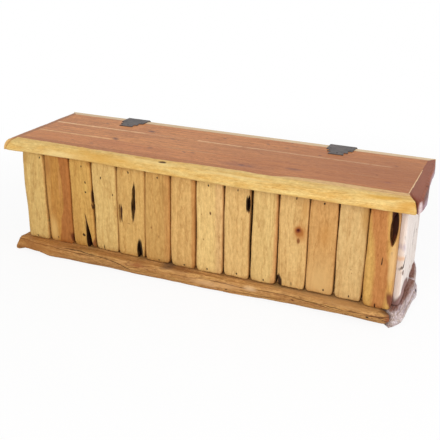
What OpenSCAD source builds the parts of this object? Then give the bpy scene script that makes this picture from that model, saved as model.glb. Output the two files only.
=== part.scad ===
// Storage bench.
// A chest walled with split cedar slabs stands on a ring of live-edge boards.
// Its framed lid is the seat, and turns on two strap hinges along the back.
// Millimetres. +Z is up, +X runs along the bench and the front faces -Y.
// The origin is on the floor, under the middle of the bench.

/* [Lid] */
// Length of the lid, from tip to tip
lid_l = 1524; // [1400:1:1700]
// Depth of the lid, from its front tip to its rear edge
lid_d = 463; // [430:1:540]
// Thickness of the lid
lid_t = 40; // [32:1:50]
// Reach of the lid past the left end wall
left_over = 58; // [52:1:75]
// Reach of the lid past the right end wall
right_over = 66; // [60:1:80]
// Reach of the lid past the front wall
front_over = 60; // [52:1:75]
// Width of the live-edge strip along the front of the lid
front_strip_w = 87; // [80:1:110]
// Width of the live-edge strip at the left end of the lid
left_strip_w = 31; // [28:1:48]
// Width of the live-edge strip at the right end of the lid
right_strip_w = 57; // [54:1:70]
// Width of the sawn strip along the back of the lid
rear_strip_w = 30; // [20:1:40]
// Width of the battens under the lid
batten_w = 64; // [40:1:90]
// Thickness of the battens under the lid
batten_t = 18; // [12:1:25]

/* [Walls] */
// Height of the wall slabs
slab_h = 345; // [280:1:420]
// Thickness of the slabs where two of them meet
slab_edge_t = 14; // [10:1:22]
// How far the fullest slab swells out past the line where slabs meet
slab_swell = 28; // [18:1:32]
// Thickness of the flat back boards
back_t = 18; // [14:1:24]
// Number of back boards
back_boards = 3; // [2:1:4]
// Side of the square posts and rails of the inner frame
frame_w = 30; // [24:1:40]

/* [Base and floor] */
// Height of the base boards
base_h = 58; // [45:1:75]
// How far the front base board reaches in behind the front wall line
base_front_in = 75; // [60:1:110]
// How far the end base boards reach in past the end wall lines
base_end_in = 75; // [60:1:110]
// Width of the rear base board
base_rear_w = 165; // [120:1:180]
// Thickness of the floor boards
floor_t = 18; // [12:1:24]
// Number of floor boards
floor_boards_n = 12; // [8:1:16]

/* [Hinges] */
// Width of a hinge leaf at its barrel
leaf_w = 97; // [85:1:120]
// Length of a hinge leaf from the back of the lid
leaf_d = 102; // [85:1:110]
// Thickness of a hinge leaf
leaf_t = 3; // [2:0.5:4]
// Radius of the hinge barrel
barrel_r = 6; // [5:0.5:8]
// Radius of the hinge pin
pin_r = 2.5; // [2:0.1:3]
// Distance of the left hinge's middle from the left end wall
left_hinge_in = 255; // [150:1:400]
// Distance of the right hinge's middle from the right end wall
right_hinge_in = 297; // [150:1:400]
// Radius of a hinge screw's shank
screw_r = 2.2; // [1.6:0.1:2.6]
// Length of a hinge screw's shank below the leaf
screw_l = 15; // [10:1:16]

/* [Hidden] */
fit = 0.3;           // clearance between the lid and the chest
pin_fit = 0.05;      // radial clearance round a hinge pin
knuckle_gap = 0.4;   // end clearance between hinge knuckles
slab_gap = 0.8;      // least gap between two slabs
floor_gap = 1;       // gap between floor boards
glue_line = 0.1;     // between the boards and strips of the lid
batten_clear = 16;   // room from a batten's ends to the rails
knuckles = 5;
axis_back = barrel_r + fit;      // hinge axis behind the back wall
axis_drop = barrel_r - leaf_t;   // hinge axis below the top of the lid

// Widths of the front slabs in turn from the left, at the foot and at the head.
slab_foot_w = [97, 106, 100, 97, 112, 104, 99, 105, 98, 98, 101, 98, 94, 96];
slab_head_w = [95, 109, 91, 107, 119, 99, 96, 103, 100, 93, 103, 95, 98, 92];
// Swell of each front slab as a share of the fullest one, and its lift off the base.
slab_fullness = [1, 0.93, 0.75, 0.7, 0.8, 0.95, 0.85, 0.8, 0.72, 0.75, 0.65, 0.6, 0.65, 0.95];
slab_lift = [0, 0, 0, 2, 2, 1, 0, 0, 2, 3, 5, 6, 4, 0];
// Extra width of the gap to the right of each front slab, at its foot, middle and head.
slab_gaps = [[2, 2, 1], [1, 1, 1], [4, 6, 2], [1, 1, 3], [1, 1, 1], [3, 1, 1], [3, 4, 3],
             [3, 3, 3], [4, 8, 9], [3, 2, 2], [3, 1, 1], [3, 1, 1], [3, 2, 2]];
end_slab_w = [92, 86, 96, 90];
left_fullness = [0.75, 0.85, 0.7, 0.8];
right_fullness = [0.75, 0.6, 0.35, 0.15];
end_lift = [0, 3, 0, 2];

// Drying cracks: slab, place across it from -1 to 1, height of the middle, length, width and tilt.
cracks = [[3, 0.46, 0, 220, 20, -3.7], [5, 0.21, 212, 156, 14, 3.7], [5, 0.58, 0, 150, 16, 0],
          [5, -0.72, 164, 76, 7, 0], [9, 0.74, 279, 66, 12, 0], [11, -0.98, 0, 130, 22, 0],
          [14, 0.66, 282, 120, 22, 2]];
crack_floor = 5;     // wood left behind a crack, measured in from the line where slabs meet

// Live-edge outlines at even steps, each a distance out from the piece's own wall or seam line.
// Front strip of the lid from the left: where the flat top ends, and how far the tip falls short.
front_arris = [24, 19, 22, 32, 41, 31, 31, 33, 26, 37, 47, 45, 60];
front_short = [7, 14, 18, 18, 14, 10, 5, 1, 0, 2, 3, 6, 7];
// End strips of the lid from the front: flat top and full reach.
left_arris = [20, 21, 22, 21, 22, 19, 21, 22, 20, 21];
left_reach = [27, 30, 31, 30, 31, 29, 30, 31, 29, 30];
right_arris = [47, 49, 49, 45, 40, 35, 32, 30, 27, 20];
right_reach = [48, 55, 57, 51, 44, 38, 35, 33, 30, 23];
// Front base board from the left: top arris, belly, near the floor and on the floor.
base_front_top = [35, 58, 60, 64, 55, 46, 36, 38, 36, 48, 34];
base_front_belly = [43, 62, 64, 66, 60, 54, 48, 46, 43, 50, 42];
base_front_low = [51, 58, 50, 47, 47, 45, 40, 30, 22, 18, 24];
base_front_foot = [42, 46, 35, 34, 34, 30, 26, 16, 8, 4, 10];
base_front_wane = 9;  // clearance from the floor of the part of it left of its bump
bump_at = 0.09;       // place of the bump along the board
// End base boards from the front.
base_left_top = [38, 30, 30, 28, 31, 29];
base_left_belly = [46, 44, 45, 42, 44, 43];
base_left_low = [54, 56, 56, 52, 54, 52];
base_right_top = [13, 21, 24, 26, 36, 30];
base_right_belly = [15, 41, 42, 46, 51, 44];
base_right_low = [12, 34, 35, 36, 43, 43];
base_end_foot = 10;  // how far the floor edge of an end board tucks in from its low point

// Main lines of the bench. The front base board may reach further out than the lid.
x_lid_l = -lid_l / 2;
x_lid_r = lid_l / 2;
x_l = x_lid_l + left_over;
x_r = x_lid_r - right_over;
wall_l = x_r - x_l;
front_reach = max(front_over, max(base_front_belly));
y_tip = (front_reach - front_over - lid_d - axis_back - barrel_r) / 2;
y_f = y_tip + front_over;
y_b = y_tip + lid_d;
z_wall = base_h;
z_rim = z_wall + slab_h;
z_lid = z_rim + fit;
z_top = z_lid + lid_t;

// Seams of the lid's core.
x_seam_l = x_lid_l + left_strip_w;
x_seam_r = x_lid_r - right_strip_w;
y_seam_f = y_tip + front_strip_w;
y_lid_b = y_b - fit;
y_seam_b = y_lid_b - rear_strip_w;

// The inner frame and the space inside it.
x_in_l = x_l + slab_edge_t;
x_in_r = x_r - slab_edge_t;
y_in_f = y_f + slab_edge_t;
y_in_b = y_b - back_t;

front_slabs = len(slab_foot_w);
end_slabs = len(end_slab_w);
sides = ["left", "right"];

function two(n) = n < 10 ? str("0", n) : str(n);
function slab_names(wall, count) = [for (i = [1:count]) str(wall, "_slab_", two(i))];

// ---- Shapes that repeat -------------------------------------------------------------------

// Smooth value at t from 0 to 1 along a list of values at even steps.
function along(list, t) =
    let (steps = len(list) - 1, s = t * steps, i = min(floor(s), steps - 1),
         e = (1 - cos(180 * (s - i))) / 2)
    list[i] * (1 - e) + list[i + 1] * e;

function total(list, count) = count == 0 ? 0 : list[count - 1] + total(list, count - 1);

// Closed solid through a row of rings that have the same number of points.
module loft(rings) {
    n = len(rings[0]);
    last = (len(rings) - 1) * n;
    skin = [for (r = [0 : len(rings) - 2], j = [0 : n - 1])
        let (a = r * n + j, b = r * n + (j + 1) % n)
        each [[a, b, b + n], [a, b + n, a + n]]];
    caps = [[for (j = [n - 1 : -1 : 0]) j], [for (j = [0 : n - 1]) last + j]];
    polyhedron([for (ring = rings) each ring], concat(skin, caps), convexity = 8);
}

// Round face of a slab across its width: places from 1 to -1, each with its share of the swell.
slab_face = [for (a = [0 : 18 : 180]) [sign(cos(a)) * pow(abs(cos(a)), 0.6), pow(sin(a), 0.6)]];

// One slab standing on z_wall, its flat back at depth slab_edge_t behind the line y = 0.
// foot and head give its left and right edge, and gaps what each edge stands back from it.
module slab(foot, head, gap_l, gap_r, swell, lift, seed) {
    h = slab_h - lift;
    corner = 9;
    steps = [0, 0.016, 0.045, 0.1, 0.22, 0.36, 0.5, 0.64, 0.78, 0.9, 0.97, 1];
    rings = [for (t = steps)
        let (wander = 1.6 * sin(400 * t + 71 * seed) + 1.1 * sin(930 * t + 133 * seed),
             tuck = corner * pow(max(0, 1 - t / 0.1), 2.6) + 5 * pow(max(0, (t - 0.9) / 0.1), 2.6),
             x0 = foot[0] + (head[0] - foot[0]) * t + along(gap_l, t) / 2 + slab_gap / 2 + tuck,
             x1 = foot[1] + (head[1] - foot[1]) * t - along(gap_r, t) / 2 - slab_gap / 2 - tuck,
             ease = 1 - 0.22 * pow(max(0, 1 - t / 0.045), 2),
             full = swell * ease * (1 + 0.05 * sin(520 * t + 97 * seed)),
             mid = (x0 + x1) / 2 + wander, half = (x1 - x0) / 2)
        concat([[x0, slab_edge_t, t * h], [x1, slab_edge_t, t * h]],
            [for (p = slab_face) [mid * (1 - abs(p[0])) + (mid - wander) * abs(p[0]) + half * p[0],
                                  -full * p[1], t * h]])];
    translate([0, 0, z_wall + lift]) loft(rings);
}

// Live edge of a base board from its top arris down to the floor, as [reach, height] points.
function base_edge(top, belly, low, foot, wane) =
    let (rise = base_h - wane, split = 0.45, bottom = 0.9)
    concat(
        [for (s = [0, 0.1, 0.25, 0.45, 0.65, 0.8, 0.9])
            [top * (s - split) * (s - bottom) / (split * bottom)
             + belly * s * (bottom - s) / (split * (bottom - split))
             + low * s * (s - split) / (bottom * (bottom - split)), wane + rise * (1 - s)]],
        [[foot, wane]]);

// Live edge of a lid strip from where its flat top ends, over the tip and back under it.
function lid_edge(arris, reach) =
    let (under = min(5, lid_t / 6))
    concat(
        [for (a = [0 : 15 : 90])
            [arris + (reach - arris) * pow(sin(a), 1.1), under + (lid_t - under) * pow(cos(a), 0.95)]],
        [[reach - 5, 0]]);

// ---- Base and floor -----------------------------------------------------------------------

// The mitres at the two front corners of the base run at 45 degrees through these points,
// where the end boards' and the front board's outlines start.
base_mitre_l = [x_l - base_left_low[0], y_f - base_front_low[0]];
base_mitre_r = [x_r + base_right_belly[0], y_f - base_front_belly[len(base_front_belly) - 1]];
y_base_rear = y_b - base_rear_w;
base_stations = 36;
end_stations = 12;

module base_front() {
    rings = [for (i = [0 : base_stations])
        let (t = i / base_stations,
             edge = base_edge(along(base_front_top, t), along(base_front_belly, t), along(base_front_low, t),
                              along(base_front_foot, t), t < bump_at ? base_front_wane : 0),
             outline = concat([[-base_front_in, 0], [-base_front_in, base_h]], edge))
        [for (p = outline)
            let (y = y_f - p[0],
                 x0 = base_mitre_l[0] + (y - base_mitre_l[1]),
                 x1 = base_mitre_r[0] - (y - base_mitre_r[1]))
            [x0 + (x1 - x0) * t, y, p[1]]]];
    color("peru") loft(rings);
}

// An end board of the base, from its mitre back to the rear board. out is -1 on the left.
module base_end(wall, mitre, out, top, belly, low) {
    rings = [for (i = [0 : end_stations])
        let (t = i / end_stations, low_now = along(low, t),
             outline = concat([[-base_end_in, 0], [-base_end_in, base_h]],
                 base_edge(along(top, t), along(belly, t), low_now, low_now - base_end_foot, 0)))
        [for (p = outline)
            let (reach = min(p[0], out * (mitre[0] - wall)),
                 y0 = mitre[1] + (out * (mitre[0] - wall) - reach))
            [wall + out * p[0], y0 + (y_base_rear - y0) * t, p[1]]]];
    if (out < 0) loft(rings);
    else loft([for (ring = rings) [for (j = [len(ring) - 1 : -1 : 0]) ring[j]]]);
}

module base_left() {
    color("peru") base_end(x_l, base_mitre_l, -1, base_left_top, base_left_belly, base_left_low);
}

module base_right() {
    color("rosybrown") base_end(x_r, base_mitre_r, 1, base_right_top, base_right_belly, base_right_low);
}

// The rear board runs the whole length. Its ends are cut at a slant and eased.
module base_rear() {
    skew = 34;
    ease = 6;
    reach = 34;
    module plan(trim) {
        polygon([[x_l - reach + trim, y_base_rear], [x_r + reach - trim, y_base_rear],
                 [x_r + reach - skew / 2 - trim, y_base_rear + base_rear_w * 0.7],
                 [x_r + reach - skew - trim, y_b], [x_l - reach + skew + trim, y_b],
                 [x_l - reach + skew / 2 + trim, y_base_rear + base_rear_w * 0.7]]);
    }
    color("rosybrown") {
        linear_extrude(base_h - ease) plan(0);
        translate([0, 0, base_h - ease]) linear_extrude(ease) plan(ease);
    }
}

// The floor boards lie across the bench, on the inner edge of the base ring.
module floor_boards() {
    x0 = x_in_l + frame_w;
    pitch = (x_in_r - frame_w - x0) / floor_boards_n;
    depth = y_in_b - y_in_f - 2 * frame_w;
    color("burlywood")
        for (i = [0 : floor_boards_n - 1])
            translate([x0 + i * pitch + floor_gap / 2, y_in_f + frame_w, z_wall])
                cube([pitch - floor_gap, depth, floor_t]);
}

// ---- Inner frame --------------------------------------------------------------------------

module corner_posts() {
    color("tan")
        for (x = [x_in_l, x_in_r - frame_w], y = [y_in_f, y_in_b - frame_w])
            translate([x, y, z_wall]) cube([frame_w, frame_w, slab_h]);
}

// Rails fit between the posts, the top ones flush with the rim and the bottom ones on the base.
module long_rail(y, z) {
    color("tan") translate([x_in_l + frame_w, y, z])
        cube([x_in_r - x_in_l - 2 * frame_w, frame_w, frame_w]);
}

module end_rail(x, z) {
    color("tan") translate([x, y_in_f + frame_w, z])
        cube([frame_w, y_in_b - y_in_f - 2 * frame_w, frame_w]);
}

// ---- Walls --------------------------------------------------------------------------------

// Left edge of slab i, counted from 1, along a wall of the given length.
function slab_edge(widths, i, length) = length * total(widths, i - 1) / total(widths, len(widths));
function gap_beside(i) = i < 1 || i > len(slab_gaps) ? [0, 0, 0] : slab_gaps[i - 1];

// A crack closes to a point at both ends, like a lens.
module crack(length, width) {
    r = (length * length + width * width) / (4 * width);
    linear_extrude(2 * slab_swell + slab_edge_t) intersection() {
        translate([r - width / 2, 0]) circle(r, $fn = 360);
        translate([width / 2 - r, 0]) circle(r, $fn = 360);
    }
}

module front_slab(i) {
    foot = [slab_edge(slab_foot_w, i, wall_l), slab_edge(slab_foot_w, i + 1, wall_l)];
    head = [slab_edge(slab_head_w, i, wall_l), slab_edge(slab_head_w, i + 1, wall_l)];
    color(i == 2 || i == 14 ? "peru" : "burlywood")
        translate([x_l, y_f, 0]) difference() {
            slab(foot, head, gap_beside(i - 1), gap_beside(i), slab_swell * slab_fullness[i - 1],
                 slab_lift[i - 1], i);
            for (c = cracks)
                if (c[0] == i) {
                    h = c[2] / slab_h;
                    mid = (foot[0] + foot[1]) / 2 * (1 - h) + (head[0] + head[1]) / 2 * h;
                    x = mid + c[1] * (foot[1] - foot[0]) / 2;
                    translate([x, slab_edge_t - crack_floor, z_wall + c[2]])
                        rotate([90, c[5], 0]) crack(c[3], c[4]);
                }
        }
}

// The end slabs stand between the front slabs and the back boards.
module end_slab(i, fullness, seed) {
    length = y_in_b - y_in_f;
    edges = [slab_edge(end_slab_w, i, length), slab_edge(end_slab_w, i + 1, length)];
    slab(edges, edges, [0, 0, 0], [0, 0, 0], slab_swell * fullness[i - 1], end_lift[i - 1], seed);
}

module right_slab(i) {
    color("antiquewhite") translate([x_r, y_in_f, 0]) rotate(90) end_slab(i, right_fullness, 20 + i);
}

module left_slab(i) {
    color("burlywood") translate([x_l, y_in_b, 0]) rotate(-90)
        end_slab(end_slabs + 1 - i, left_fullness, 30 + i);
}

// Flat boards close the back, one above the other. The hinges' screws go into the top one.
module back_board(i) {
    h = slab_h / back_boards;
    color("burlywood") difference() {
        translate([x_l, y_in_b, z_wall + (i - 1) * h]) cube([wall_l, back_t, h]);
        screw_places("back") screw_hole();
    }
}

// ---- Lid ----------------------------------------------------------------------------------

// Outer corner points of the lid's mitres. The inner ones are the corners of the core.
lid_mitre_fl = [x_seam_l - left_reach[0], y_tip];
lid_mitre_fr = [x_seam_r + right_reach[0], y_tip];
lid_mitre_bl = [x_seam_l - left_reach[len(left_reach) - 1], y_lid_b];
lid_mitre_br = [x_seam_r + right_reach[len(right_reach) - 1], y_lid_b];
lid_stations = 36;
lid_end_stations = 18;

module lid_front_strip() {
    rings = [for (i = [0 : lid_stations])
        let (t = i / lid_stations,
             outline = concat([[0, 0], [0, lid_t]],
                 lid_edge(along(front_arris, t), front_strip_w - along(front_short, t))))
        [for (p = outline)
            let (k = p[0] / front_strip_w,
                 x0 = x_seam_l + (lid_mitre_fl[0] - x_seam_l) * k,
                 x1 = x_seam_r + (lid_mitre_fr[0] - x_seam_r) * k)
            [x0 + (x1 - x0) * t, y_seam_f - p[0], z_lid + p[1]]]];
    color("khaki") loft(rings);
}

// An end strip of the lid, from the front mitre to the rear one. out is -1 on the left.
module lid_end(seam, out, arris, reach) {
    rings = [for (i = [0 : lid_end_stations])
        let (t = i / lid_end_stations,
             outline = concat([[0, 0], [0, lid_t]], lid_edge(along(arris, t), along(reach, t))))
        [for (p = outline)
            let (y0 = y_seam_f - front_strip_w * min(1, p[0] / reach[0]),
                 y1 = y_seam_b + rear_strip_w * min(1, p[0] / reach[len(reach) - 1]))
            [seam + out * p[0], y0 + (y1 - y0) * t, z_lid + p[1]]]];
    if (out < 0) loft(rings);
    else loft([for (ring = rings) [for (j = [len(ring) - 1 : -1 : 0]) ring[j]]]);
}

module lid_left_strip() {
    color("sienna") lid_end(x_seam_l, -1, left_arris, left_reach);
}

module lid_right_strip() {
    color("sienna") lid_end(x_seam_r, 1, right_arris, right_reach);
}

module lid_rear_strip() {
    inner = y_seam_b + glue_line;
    color("wheat") difference() {
        translate([0, 0, z_lid]) linear_extrude(lid_t)
            polygon([[x_seam_l + glue_line, inner], [x_seam_r - glue_line, inner],
                     lid_mitre_br - [glue_line, 0], lid_mitre_bl + [glue_line, 0]]);
        screw_places("lid") screw_hole();
    }
}

// The core boards lie side by side between the strips. Their widths share the room in turn.
board_shares = [98, 125, 130];

module lid_board(i) {
    room = y_seam_b - y_seam_f;
    y0 = y_seam_f + slab_edge(board_shares, i, room) + glue_line / 2;
    y1 = y_seam_f + slab_edge(board_shares, i + 1, room) - glue_line / 2;
    color("darksalmon") difference() {
        translate([x_seam_l + glue_line, y0, z_lid])
            cube([x_seam_r - x_seam_l - 2 * glue_line, y1 - y0, lid_t]);
        screw_places("lid") screw_hole();
    }
}

// Battens lie under the boards, inside the frame of the chest when the lid is shut.
module lid_battens() {
    y0 = y_in_f + frame_w + batten_clear;
    y1 = y_in_b - frame_w - batten_clear;
    color("tan")
        for (k = [-1, 0, 1])
            translate([(x_l + x_r) / 2 + k * wall_l * 0.34 - batten_w / 2, y0, z_lid - batten_t])
                cube([batten_w, y1 - y0, batten_t]);
}

// ---- Hinges -------------------------------------------------------------------------------

hinge_x = [x_l + left_hinge_in, x_r - right_hinge_in];
y_axis = y_b + axis_back;
z_axis = z_top - axis_drop;
knuckle_w = leaf_w / knuckles;

// Half outline of a leaf, cut in three flared steps: half width and distance from the barrel,
// both as shares of the leaf.
leaf_steps = [[0.5, 0], [0.49, 0.49], [0.32, 0.51], [0.39, 0.72], [0.24, 0.75], [0.29, 1]];
// Screw places on a leaf: across its width and from the barrel, as shares of the leaf.
leaf_screws = [[-0.36, 0.36], [0.36, 0.36], [0, 0.8]];

// A flat leaf lying on z = 0, its barrel edge along y = 0 and its steps towards -y.
module leaf_plate() {
    right = [for (p = leaf_steps) [p[0] * leaf_w, -p[1] * leaf_d]];
    left = [for (i = [len(right) - 1 : -1 : 0]) [-right[i][0], right[i][1]]];
    difference() {
        linear_extrude(leaf_t) polygon(concat(right, left));
        for (p = leaf_screws)
            translate([p[0] * leaf_w, -p[1] * leaf_d, -1])
                cylinder(leaf_t + 2, r = screw_r + pin_fit, $fn = 32);
    }
}

// Knuckles first to last by twos on the x axis, bored for the pin, with room beside each.
module barrel(first) {
    for (k = [first : 2 : knuckles - 1])
        translate([-leaf_w / 2 + k * knuckle_w + knuckle_gap / 2, 0, 0])
            rotate([0, 90, 0]) cylinder(knuckle_w - knuckle_gap, r = barrel_r, $fn = 48);
}

module pin_bore() {
    translate([-leaf_w / 2 - 1, 0, 0]) rotate([0, 90, 0])
        cylinder(leaf_w + 2, r = pin_r + pin_fit, $fn = 48);
}

// The lid's leaf lies on top of the lid and runs back over the barrel at its two knuckles.
module hinge_lid_leaf(side) {
    link = axis_back + fit + leaf_t;
    color("dimgray") translate([hinge_x[side], y_axis, z_axis]) difference() {
        union() {
            translate([0, -axis_back - fit, axis_drop]) leaf_plate();
            barrel(1);
            for (k = [1 : 2 : knuckles - 1])
                translate([-leaf_w / 2 + k * knuckle_w + knuckle_gap / 2, -link, axis_drop])
                    cube([knuckle_w - knuckle_gap, link, leaf_t]);
        }
        pin_bore();
    }
}

// The other leaf hangs down behind the lid's edge and lies on the back board.
module hinge_back_leaf(side) {
    drop = barrel_r + 2 * fit;
    color("dimgray") translate([hinge_x[side], y_axis, z_axis]) difference() {
        union() {
            translate([0, -axis_back, -drop]) rotate([90, 0, 180]) leaf_plate();
            barrel(0);
            for (k = [0 : 2 : knuckles - 1])
                translate([-leaf_w / 2 + k * knuckle_w + knuckle_gap / 2, -axis_back, -drop - leaf_t])
                    cube([knuckle_w - knuckle_gap, leaf_t, drop + leaf_t]);
        }
        pin_bore();
    }
}

// A plain pin with a low round head at each end, just clear of the barrel.
module hinge_pin(side) {
    head_w = 2;
    color("gray") translate([hinge_x[side], y_axis, z_axis]) rotate([0, 90, 0]) {
        cylinder(leaf_w + 2 * knuckle_gap, r = pin_r, center = true, $fn = 48);
        for (end = [-1, 1])
            translate([0, 0, end * (leaf_w / 2 + knuckle_gap / 2 + head_w / 2)])
                cylinder(head_w, r = barrel_r * 0.75, center = true, $fn = 32);
    }
}

// Places its children at each screw of the leaves on the lid or on the back, axis pointing out.
module screw_places(where) {
    for (x = hinge_x, p = leaf_screws)
        if (where == "lid")
            translate([x + p[0] * leaf_w, y_axis - axis_back - fit - p[1] * leaf_d, z_top]) children();
        else
            translate([x + p[0] * leaf_w, y_b, z_axis - barrel_r - 2 * fit - p[1] * leaf_d])
                rotate([-90, 0, 0]) children();
}

module screw_hole() {
    translate([0, 0, -screw_l - 1]) cylinder(screw_l + 2, r = screw_r + pin_fit, $fn = 32);
}

// Round-headed screw through a leaf.
module hinge_screw() {
    head_r = 2 * screw_r;
    head_h = 0.9 * screw_r;
    translate([0, 0, -screw_l]) cylinder(screw_l + leaf_t, r = screw_r, $fn = 32);
    translate([0, 0, leaf_t]) cylinder(head_h, r1 = head_r, r2 = head_r * 0.6, $fn = 32);
}

module hinge_lid_screws() {
    color("gray") screw_places("lid") hinge_screw();
}

module hinge_back_screws() {
    color("gray") screw_places("back") hinge_screw();
}

// ---- Every node ---------------------------------------------------------------------------

base_front();
base_rear();
base_left();
base_right();
floor_boards();
corner_posts();
long_rail(y_in_f, z_rim - frame_w);  // front_top_rail
long_rail(y_in_f, z_wall);  // front_bottom_rail
long_rail(y_in_b - frame_w, z_rim - frame_w);  // rear_top_rail
long_rail(y_in_b - frame_w, z_wall);  // rear_bottom_rail
end_rail(x_in_l, z_rim - frame_w);  // left_top_rail
end_rail(x_in_l, z_wall);  // left_bottom_rail
end_rail(x_in_r - frame_w, z_rim - frame_w);  // right_top_rail
end_rail(x_in_r - frame_w, z_wall);  // right_bottom_rail
for (i = [1 : front_slabs])
    front_slab(i);
for (i = [1 : end_slabs])
    left_slab(i);
for (i = [1 : end_slabs])
    right_slab(i);
for (i = [1 : back_boards])
    back_board(i);
lid_front_strip();
lid_rear_strip();
lid_left_strip();
lid_right_strip();
lid_board(1);  // lid_board_front
lid_board(2);  // lid_board_middle
lid_board(3);  // lid_board_rear
lid_battens();
for (side = [0, 1])
    hinge_lid_leaf(side);
for (side = [0, 1])
    hinge_back_leaf(side);
for (side = [0, 1])
    hinge_pin(side);
hinge_lid_screws();
hinge_back_screws();
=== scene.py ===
import math

import bmesh
import bpy
from mathutils import Matrix, Vector, noise
from mathutils.bvhtree import BVHTree


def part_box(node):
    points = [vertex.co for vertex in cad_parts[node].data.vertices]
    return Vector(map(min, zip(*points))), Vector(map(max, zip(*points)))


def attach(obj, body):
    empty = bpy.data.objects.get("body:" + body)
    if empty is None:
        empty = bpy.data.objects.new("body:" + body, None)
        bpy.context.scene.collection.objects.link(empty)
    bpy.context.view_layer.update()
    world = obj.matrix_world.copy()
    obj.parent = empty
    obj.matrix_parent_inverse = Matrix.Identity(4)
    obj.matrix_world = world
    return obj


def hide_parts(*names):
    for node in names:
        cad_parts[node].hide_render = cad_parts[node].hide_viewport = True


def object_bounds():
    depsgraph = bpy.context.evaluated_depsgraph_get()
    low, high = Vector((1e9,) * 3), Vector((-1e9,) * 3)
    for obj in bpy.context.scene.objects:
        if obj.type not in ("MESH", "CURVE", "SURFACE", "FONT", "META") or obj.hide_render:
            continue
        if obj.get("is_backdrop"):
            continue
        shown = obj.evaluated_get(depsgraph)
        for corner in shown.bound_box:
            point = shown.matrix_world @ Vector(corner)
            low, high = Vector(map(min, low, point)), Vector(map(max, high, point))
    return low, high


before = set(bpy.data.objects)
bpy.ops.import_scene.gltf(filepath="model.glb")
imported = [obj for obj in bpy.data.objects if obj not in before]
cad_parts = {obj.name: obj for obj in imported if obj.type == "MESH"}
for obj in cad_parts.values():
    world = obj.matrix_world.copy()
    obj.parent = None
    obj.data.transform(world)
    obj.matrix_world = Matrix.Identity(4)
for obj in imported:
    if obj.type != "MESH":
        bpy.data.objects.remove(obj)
cad_low, cad_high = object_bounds()

# ---- The room ------------------------------------------------------------------------------
# A bare studio: a white paper floor, a broad soft lamp in front, a second one past the right
# end and an even glow from all round. The camera stands off the right front corner.

# The camera looks at a point near the middle of the bench, from 2.65 m away.
aim = (cad_low + cad_high) / 2 + Vector((0.0347, -0.0415, -0.0292))
distance = 2.65
bearing = math.radians(23.91)
lift = math.radians(22.78)
roll = math.radians(0.473)
lens_length = 59.89
film_width = 36
back = Vector((math.sin(bearing) * math.cos(lift), -math.cos(bearing) * math.cos(lift), math.sin(lift)))
level = Vector((math.cos(bearing), math.sin(bearing), 0))
upright = back.cross(level)
right = level * math.cos(roll) + upright * math.sin(roll)
up = upright * math.cos(roll) - level * math.sin(roll)


def put(name, data):
    """A new object in the scene."""
    thing = bpy.data.objects.new(name, data)
    bpy.context.scene.collection.objects.link(thing)
    return thing


camera = put("camera", bpy.data.cameras.new("camera"))
camera.data.lens = lens_length
camera.data.sensor_width = film_width
camera.matrix_world = Matrix((right, up, back)).transposed().to_4x4()
camera.location = aim + back * distance
bpy.context.scene.camera = camera
bpy.context.scene.view_settings.view_transform = "Standard"


def colour(code):
    """An sRGB hex value as a linear colour."""
    parts = [int(code[i:i + 2], 16) / 255 for i in (1, 3, 5)]
    return [p / 12.92 if p <= 0.04045 else ((p + 0.055) / 1.055) ** 2.4 for p in parts] + [1]


def add(tree, kind, inputs=(), **settings):
    """Adds one node. An input is a number, a colour, a socket, or a node that gives its first output."""
    node = tree.nodes.new("ShaderNode" + kind)
    for key, value in settings.items():
        setattr(node, key, value)
    for key, value in inputs.items() if isinstance(inputs, dict) else enumerate(inputs):
        if isinstance(value, bpy.types.Node):
            value = next(s for s in value.outputs if s.enabled)
        if isinstance(value, bpy.types.NodeSocket):
            tree.links.new(value, node.inputs[key])
        elif value is not None:
            node.inputs[key].default_value = value
    return node


def lamp(name, place, target, size, watts, tint):
    """A square soft lamp that faces its target."""
    light = bpy.data.lights.new(name, "AREA")
    light.size = size
    light.energy = watts
    light.color = colour(tint)[:3]
    holder = put(name, light)
    holder.location = place
    holder.rotation_euler = (Vector(place) - Vector(target)).to_track_quat("Z", "Y").to_euler()


lamp("front_lamp", (0.7, -3.2, 2.3), (0, 0, 0.2), 2.2, 62, "#fffaf2")
lamp("end_lamp", (3.3, -0.7, 1.5), (0.6, 0, 0.2), 1.6, 34, "#f6f4ff")

world = bpy.data.worlds.new("studio")
bpy.context.scene.world = world
world.use_nodes = True
world.node_tree.nodes.clear()
# The glow is dimmer on the bench than where the camera, a mirror or a glass sees it.
seen = add(world.node_tree, "LightPath")
mirrored = add(world.node_tree, "Math", [seen.outputs["Is Camera Ray"], seen.outputs["Is Glossy Ray"]],
               operation="MAXIMUM")
shown = add(world.node_tree, "Math", [mirrored, seen.outputs["Is Transmission Ray"]], operation="MAXIMUM")
strength = add(world.node_tree, "MapRange", {"Value": shown, "To Min": 0.6, "To Max": 1.0})
glow = add(world.node_tree, "Background", [(1, 1, 1, 1), strength])
add(world.node_tree, "OutputWorld", [glow])


def new_material(name):
    """A new material and its empty node tree."""
    material = bpy.data.materials.new(name)
    material.use_nodes = True
    material.node_tree.nodes.clear()
    return material, material.node_tree


# Matt white paper. Round the bench it takes the shadow, and further out it turns to plain white
# for the camera.
paper, tree = new_material("white_paper")
spread = add(tree, "VectorMath", [add(tree, "TexCoord").outputs["Object"]], operation="LENGTH")
far = add(tree, "MapRange", {"Value": spread, "From Min": 1.0, "From Max": 2.2, "To Min": 0.9},
          interpolation_type="SMOOTHSTEP")
far = add(tree, "Math", [far, add(tree, "LightPath").outputs["Is Camera Ray"]], operation="MULTIPLY")
matt = add(tree, "BsdfDiffuse", [(0.9, 0.9, 0.9, 1)])
white = add(tree, "Emission", [(1, 1, 1, 1), 1.0])
add(tree, "OutputMaterial", [add(tree, "MixShader", [far, matt, white])])

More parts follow.
